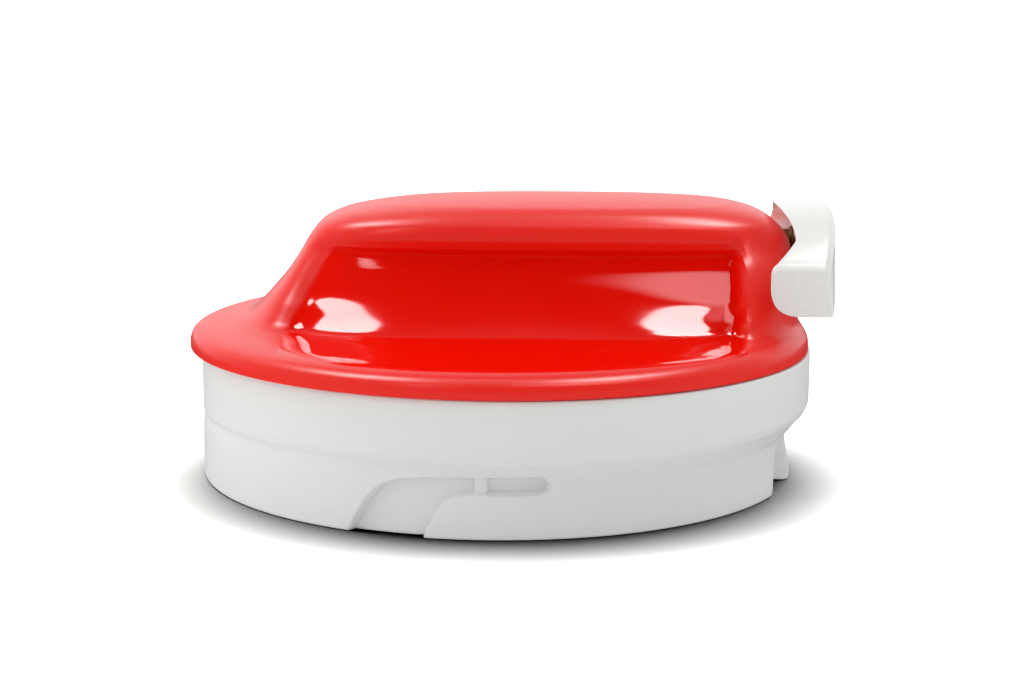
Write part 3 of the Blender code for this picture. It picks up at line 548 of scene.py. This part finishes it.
def housing_wall(degrees, height):
    """Outer wall at angles round the neck from the front, with the bayonet channels sunk in."""
    angle = np.radians(degrees - 90)
    foot = 1 - smooth_step(height / FLARE_HEIGHT)
    offset = BAND_X - (DRIVE_X + FLARE_SHIFT * foot)
    neck = (-offset * np.cos(angle) + np.sqrt((NECK_RADIUS + FLARE_WIDER * foot) ** 2
                                              - (offset * np.sin(angle)) ** 2))
    below = max(0.0, SHOULDER_TOP - height)
    shoulder = BAND_RADIUS - SHOULDER_SLOPE * below - SHOULDER_BEND * below ** 2
    reach = 0.5 * (neck + shoulder + np.sqrt((neck - shoulder) ** 2 + SHOULDER_SOFT ** 2))
    crease = (smooth_step((CREASE_TOP - height) / (CREASE_TOP - CREASE_LOW))
              * smooth_step((height - CREASE_END) / (CREASE_LOW - CREASE_END)))
    reach = np.minimum(reach, BAND_RADIUS) - CREASE_DEPTH * crease
    x, y = BAND_X + reach * np.cos(angle), reach * np.sin(angle)

    turn = np.degrees(np.arctan2(y, x - DRIVE_X)) + 90
    turn = (turn + 45) % (360 / CHANNEL_COUNT) - 45
    per_degree = math.radians(1) * NECK_RADIUS
    outline = [(degree * per_degree, z) for degree, z in CHANNEL]
    depth = smooth_step(outline_distance(outline, turn * per_degree, height) / 0.55 + 0.5)
    bump = (smooth_step((turn - DETENT[0]) / 0.35 + 0.5)
            * smooth_step((DETENT[1] - turn) / 0.35 + 0.5))
    floor = CHANNEL_FLOOR + DETENT_RISE * bump
    radius = np.hypot(x - DRIVE_X, y)
    scale = 1 - depth * (1 - floor / radius)
    return np.stack([DRIVE_X + (x - DRIVE_X) * scale, y * scale, np.full_like(x, height)], axis=1)


def make_housing():
    fine = []
    for k in range(CHANNEL_COUNT):
        start = k * 360 / CHANNEL_COUNT
        fine += list(start + np.arange(-29, 13, 0.25)) + list(start + np.arange(13, 61, 1.5))
    degrees = np.array(fine)
    angle = np.radians(degrees - 90)

    def circle(radius, height, middle):
        return np.stack([middle + radius * np.cos(angle), radius * np.sin(angle),
                         np.full_like(angle, height)], axis=1)

    foot = housing_wall(degrees, 0.0)
    centre = np.array([DRIVE_X, 0, 0])
    rings = []
    for inset, height in ((0.6, 0.0), (0.3, 0.08), (0.1, 0.25)):
        ring = foot - (foot - centre) * (inset / NECK_RADIUS)
        ring[:, 2] = height
        rings.append(ring)
    for height in np.arange(0.5, SHOULDER_TOP + 0.3, 0.2):
        rings.append(housing_wall(degrees, height))
    top = RIM_LOW - GAP
    ledge = PLATE_HIGH + GAP
    rings += [circle(BAND_RADIUS, h, BAND_X) for h in (16.5, 18, 21, 24, top - 0.3)]
    rings += [circle(BAND_RADIUS - 0.1, top - 0.09, BAND_X),
              circle(BAND_RADIUS - 0.3, top, BAND_X), circle(SPIGOT_OUT, top, BAND_X),
              circle(SPIGOT_OUT, SPIGOT_TOP, BAND_X), circle(SPIGOT_IN, SPIGOT_TOP, BAND_X),
              circle(SPIGOT_IN, SPIGOT_FOOT, BAND_X), circle(NECK_BORE, NECK_BORE_TOP, DRIVE_X),
              circle(NECK_BORE, ledge + LEDGE_THICK, DRIVE_X),
              circle(LEDGE_BORE, ledge + LEDGE_THICK, DRIVE_X),
              circle(LEDGE_BORE, ledge, DRIVE_X), circle(NECK_BORE, ledge, DRIVE_X),
              circle(NECK_BORE, 0.3, DRIVE_X), circle(NECK_BORE + 0.3, 0.0, DRIVE_X)]
    rings = np.array(rings) * MM + np.array([RIM_X, 0, 0])
    housing = new_piece("white_housing", grid_mesh("white_housing", rings, closed_loop=True),
                        WHITE, 50)
    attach(housing, "root")
    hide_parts("housing_ring")
    return housing


def handle_ring(y, inset):
    """Section of the pull handle: thin and tall at the middle, thick and low at the ends."""
    t = abs(y) / HANDLE_HALF
    inner = HANDLE_THIN - HANDLE_SWEEP * t ** 3.2 + inset
    outer = HANDLE_OUT - HANDLE_BACK * t ** 2 - inset
    low = HANDLE_LOW - HANDLE_DROOP * t ** 1.5 + inset
    high = HANDLE_HIGH - HANDLE_FALL * t ** 2.2 - inset
    waist = min(LEAN_FROM, high - 2.2)
    over = LEAN * max(0.0, high - LEAN_FROM)
    foot = outer + HANDLE_SPLAY * t ** 2
    corners = [(outer, high), (inner - over, high), (inner, waist), (inner, low), (foot, low)]
    radii = [1.8, 1.1, 1.0, 2.6 + 4.4 * t ** 2, 0.9]
    return [(p.x, y, p.y) for p in soften(corners, radii, 12)]


def make_handle():
    """The pull handle, with a fine groove and a bead before each end face."""
    ends = [(27.0, 0.75), (26.97, 0.55), (26.87, 0.35), (26.7, 0.18), (26.45, 0.05), (26.2, 0.0),
            (25.8, 0.0), (25.5, 0.04), (25.3, 0.12), (25.1, 0.04), (24.8, 0.0)]
    stations = [(-y, inset) for y, inset in ends] + [(y, 0.0) for y in np.linspace(-24, 24, 65)]
    stations += list(reversed(ends))
    rings = np.array([handle_ring(y, inset) for y, inset in stations])
    rings = rings * MM + np.array([RIM_X, 0, 0])
    mesh = grid_mesh("handle_shell", rings, cap_start=True, cap_end=True)
    mesh.flip_normals()
    handle = new_piece("handle_shell", mesh, HANDLE_WHITE)
    bore = cylinder(1.3, (HANDLE_OUT - 12, 0, CORD_Z), (HANDLE_OUT - 3, 0, CORD_Z), 32)
    pocket = cylinder(4.2, (HANDLE_OUT - 5.2, 0, CORD_Z), (HANDLE_OUT + 2, 0, CORD_Z), 64)
    carve(handle, [bore, pocket])
    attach(handle, "handle")
    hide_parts("pull_handle")

    plug = turned_piece("cord_plug", [(3.9, HANDLE_OUT - 0.3), (3.9, HANDLE_OUT - 1.8),
                                      (0.05, HANDLE_OUT - 1.8), (0.05, HANDLE_OUT - 0.3)],
                        HANDLE_WHITE, 0.35, 64, along_x=True)
    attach(plug, "handle")
    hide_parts("handle_plug")


# ---------------------------------------------------------------- the rest of the parts
def stand_for(piece, body, node):
    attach(piece, body)
    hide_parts(node)


def make_underside():
    """Base plate with its ribs, the seal round it, and the screws that hold it."""
    lip = PLATE_RADIUS - 1.8
    outline = [(PLATE_RADIUS, PLATE_HIGH), (PLATE_RADIUS, 7.6), (lip, 7.6), (lip, PLATE_LOW),
               (31.4, PLATE_LOW), (31.4, 8.0), (30.0, 8.0), (30.0, PLATE_LOW), (7.5, PLATE_LOW),
               (7.5, 13.0), (10.5, 13.0), (10.5, PLATE_HIGH)]
    plate = turned_piece("base_disc", outline, WHITE, 0.3)
    ribs = []
    for k in range(12):
        angle = math.radians(15 + 30 * k)
        middle = (31.0 + lip) / 2
        ribs.append(slab((DRIVE_X + middle * math.cos(angle), middle * math.sin(angle), 8.65),
                         (lip - 31.0 + 0.5, 1.1, 1.1), angle))
    carve(plate, ribs, "UNION")
    carve(plate, [cylinder(PILOT_RADIUS, (sx * POST_X, sy * POST_Y, PLATE_LOW - 2),
                           (sx * POST_X, sy * POST_Y, PLATE_HIGH + 2), 32) for sx, sy in CORNERS])
    stand_for(plate, "root", "base_plate")

    seal = turned_piece("plate_seal", [(53.9, 10.7), (53.9, 10.2), (53.35, 10.0), (53.9, 9.8),
                                       (53.9, 9.3), (52.9, 9.3), (52.9, 10.7)], RUBBER, 0.2)
    stand_for(seal, "root", "base_seal")

    for i, (sx, sy) in enumerate(CORNERS, start=1):
        outline = [(1.4, 22.5), (1.4, 8.7), (3.0, 8.7), (3.0, 7.7), (2.3, 6.95), (0.05, 6.9),
                   (0.05, 22.5)]
        screw = turned_piece(f"plate_screw_{i}", outline, STEEL, 0.25, 48)
        screw.data.transform(Matrix.Translation(((sx * POST_X - DRIVE_X) * MM,
                                                 sy * POST_Y * MM, 0)))
        x, y = sx * POST_X, sy * POST_Y
        carve(screw, [slab((x, y, 7.3), size, math.radians(20 * i))
                      for size in ((3.4, 0.65, 1.7), (0.65, 3.4, 1.7))])
        stand_for(screw, "root", f"base_screw_{i}")


def make_coupling():
    """Hexagonal drive socket with a led-in mouth, on its stem."""
    outline = [(STEM_RADIUS, STEM_TOP), (STEM_RADIUS, HUB_HIGH), (HUB_RADIUS, HUB_HIGH),
               (HUB_RADIUS, HUB_LOW), (1.0, HUB_LOW), (1.0, STEM_TOP)]
    coupling = turned_piece("hex_coupling", outline, NATURAL, [0.3, 0.6, 0.6, 0.9, 0.1, 0.1], 96)
    corner = SOCKET_FLATS / math.sqrt(3)
    socket = cylinder(corner, (DRIVE_X, 0, -1), (DRIVE_X, 0, SOCKET_TOP), 6)
    seat = cylinder(3.3, (DRIVE_X, 0, 9.1), (DRIVE_X, 0, STEM_TOP + 1), 48)
    cross = cylinder(1.2, (DRIVE_X - 7, 0, 11.5), (DRIVE_X + 7, 0, 11.5), 32)
    mouth = cylinder(1.0, (DRIVE_X, 0, HUB_LOW - 0.4), (DRIVE_X, 0, HUB_LOW + 0.8), 6)
    for vert in mouth.data.vertices:
        reach = (corner + 1.2) if vert.co.z < HUB_LOW * MM else corner
        vert.co.x = DRIVE_AXIS + (vert.co.x - DRIVE_AXIS) * reach
        vert.co.y *= reach
    carve(coupling, [socket, seat, cross, mouth])
    stand_for(coupling, "drive", "drive_coupling")


def make_cord():
    """Eyelet, and the cord from it to the handle, made straight at its rest length; the real cord
    draws out as the handle is pulled.
    """
    eyelet = turned_piece("end_eyelet", [(3.1, EYELET_END), (3.1, EYELET_FACE), (2.5, EYELET_FACE),
                                         (2.5, EYELET_START), (1.3, EYELET_START),
                                         (1.3, EYELET_END)], EYELET_PAINTED_SHADE, 0.35, 64, along_x=True)
    stand_for(eyelet, "root", "cord_eyelet")
    start, end = EYELET_START + 0.5, HANDLE_OUT - 5.2
    rings = []
    for x in np.linspace(start, end, 161):
        rings.append([(RIM_X + x * MM, CORD_RADIUS * MM * math.cos(a),
                       (CORD_Z + CORD_RADIUS * math.sin(a)) * MM)
                      for a in np.linspace(0, 2 * math.pi, 24, endpoint=False)])
    mesh = grid_mesh("drawn_cord", np.array(rings), cap_start=True, cap_end=True)
    cord = new_piece("drawn_cord", mesh, CORD_PAINTED_SHADE)
    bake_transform(cord)
    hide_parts("pull_cord")


def finish_cad_nodes():
    """Parts inside the lid keep their CAD shape and get their finish."""
    finishes = {"spring_case": GREY, "spring_case_lid": GREY, "recoil_spring": SPRING_STEEL,
                "lower_bush": NATURAL, "upper_bush": NATURAL, "drive_shaft": STEEL,
                "drive_pin": STEEL, "thrust_washer": STEEL, "drum_washer": NATURAL,
                "spring_arbor": STEEL, "shaft_clip": SPRING_STEEL, "spacer_sleeve": NATURAL,
                "cord_drum": NATURAL, "drum_cap": NATURAL, "wound_cord": CORD_PAINTED_SHADE,
                "cord_lead": CORD_PAINTED_SHADE, "handle_knot": CORD_PAINTED_SHADE}
    finishes.update({f"case_screw_{i}": STEEL for i in range(1, 4)})
    for name, material in finishes.items():
        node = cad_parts[name]
        node.data.materials.clear()
        node.data.materials.append(material)


# ---------------------------------------------------------------- stage
def make_floor():
    """A pale floor, exposed well past white where the camera sees it, with a contact shadow
    painted into its colour from an occlusion term, deeper in front of the lid; reflections see it
    as a dull grey table, and from below it is clear."""
    bpy.ops.mesh.primitive_plane_add(size=8)
    floor = bpy.context.object
    floor.name = "floor"
    mat = Finish("floor_white", Roughness=1.0, Specular_IOR_Level=0.0)
    path = mat.add("ShaderNodeLightPath")
    grain = mat.blend_colours(mat.noise(2, 2), FLOOR_BOUNCE, tuple(c * 0.98 for c in FLOOR_BOUNCE))
    # occlusion term that drives the painted contact shadow
    shadow_occlusion = mat.add("ShaderNodeAmbientOcclusion", samples=32)
    shadow_occlusion.inputs["Distance"].default_value = PAINTED_SHADOW_REACH
    lean = mat.add("ShaderNodeCombineXYZ")
    for axis, value in zip("XYZ", PAINTED_SHADOW_LEAN):
        lean.inputs[axis].default_value = value
    mat.link(lean.outputs["Vector"], shadow_occlusion.inputs["Normal"])
    open_sky = mat.spread(shadow_occlusion.outputs["AO"], 0.0, 1.0, *PAINTED_SHADOW_RANGE)
    # painted contact shadow: the floor's colour goes to black where the occlusion term finds the
    # lid close
    painted_shadow = mat.blend_colours(open_sky, (0.0, 0.0, 0.0), FLOOR_SEEN)
    seen = mat.blend_colours(path.outputs["Is Camera Ray"], grain, painted_shadow)
    mat.to(mat.blend_colours(path.outputs["Is Glossy Ray"], seen, FLOOR_REFLECTED), "Base Color")
    below = mat.add("ShaderNodeNewGeometry").outputs["Backfacing"]
    mat.to(mat.maths("SUBTRACT", 1.0, below), "Alpha")
    floor.data.materials.append(mat.material)


def make_world():
    """Pale room: daylight for the matt shading, and a dark one with soft lamps in reflections."""
    world = bpy.data.worlds.new("studio")
    bpy.context.scene.world = world
    world.use_nodes = True
    tree = world.node_tree
    background = tree.nodes["Background"]
    background.inputs["Color"].default_value = (1, 1, 1, 1)
    path = tree.nodes.new("ShaderNodeLightPath")
    toward = tree.nodes.new("ShaderNodeTexCoord").outputs["Generated"]

    def wire(node, values):
        for socket, value in zip(node.inputs, values):
            if isinstance(value, bpy.types.NodeSocket):
                tree.links.new(value, socket)
            else:
                socket.default_value = value
        return node.outputs[0]

    def along(direction):
        node = tree.nodes.new("ShaderNodeVectorMath")
        node.operation = "DOT_PRODUCT"
        tree.links.new(toward, node.inputs[0])
        node.inputs[1].default_value = direction
        return node.outputs["Value"]

    def maths(operation, *values):
        node = tree.nodes.new("ShaderNodeMath")
        node.operation = operation
        return wire(node, values)

    def ramp(source, start, end, low, high):
        node = tree.nodes.new("ShaderNodeMapRange")
        node.interpolation_type = "SMOOTHSTEP"
        return wire(node, (source, start, end, low, high))

    room = ramp(along((0, 1, 0)), 0.1, 0.95, 0.0, ROOM_BEHIND)
    room = maths("MULTIPLY", room, ramp(along((0, 0, 1)), 0.15, 0.9, 1.0, ROOM_ABOVE))
    room = maths("ADD", room, ramp(along((1, 0, 0)), 0.4, 0.9, 0.0, ROOM_SIDE))
    for direction, radiance, wide, fade in LAMPS:
        towards = Vector(direction).normalized()
        edges = [math.cos(math.radians(wide + side * fade / 2)) for side in (1, -1)]
        room = maths("ADD", room, ramp(along(towards), *edges, 0.0, radiance))
    daylight = maths("ADD", along((*DAYLIGHT_TURN, 0)), DAYLIGHT)
    strength = daylight
    for ray, other in (("Is Glossy Ray", room), ("Is Camera Ray", BACKDROP)):
        mix = tree.nodes.new("ShaderNodeMix")
        strength = wire(mix, (path.outputs[ray], (0, 0, 0), strength, other))
    tree.links.new(strength, background.inputs["Strength"])


def area_light(name, place, target, size, power):
    data = bpy.data.lights.new(name, "AREA")
    data.shape = "ELLIPSE"
    data.size, data.size_y = size
    data.energy = power
    light = bpy.data.objects.new(name, data)
    light.location = place
    light.rotation_euler = (Vector(target) - Vector(place)).to_track_quat("-Z", "Y").to_euler()
    bpy.context.scene.collection.objects.link(light)
    return light


def make_lights():
    """Two lamps over the lid that only its reflections see."""
    over = Vector((0, 0, 0.045))
    for name, direction, size, radiance in SOFTBOXES:
        place = over + Vector(direction).normalized()
        power = radiance * math.pi * size[0] * size[1]
        lamp = area_light(name, place, over, size, power)
        lamp.visible_diffuse = False


def make_camera():
    """Camera 0.41 m in front of the rim's axis, looking 10 degrees down."""
    data = bpy.data.cameras.new("camera")
    data.sensor_width = 36.0
    data.lens = 73.48
    data.clip_start = 0.01
    camera = bpy.data.objects.new("camera", data)
    camera.location = (RIM_X, -0.4110, 0.0981)
    pitch, yaw, roll = 0.176, 0.006, 0.007
    turn = (Matrix.Rotation(-yaw, 4, "Z") @ Matrix.Rotation(math.pi / 2 - pitch, 4, "X")
            @ Matrix.Rotation(roll, 4, "Z"))
    camera.rotation_euler = turn.to_euler()
    bpy.context.scene.collection.objects.link(camera)
    bpy.context.scene.camera = camera


make_camera()
make_cover()
make_housing()
make_handle()
make_underside()
make_coupling()
make_cord()
finish_cad_nodes()
make_floor()
make_world()
make_lights()
bpy.context.scene.view_settings.view_transform = "Standard"
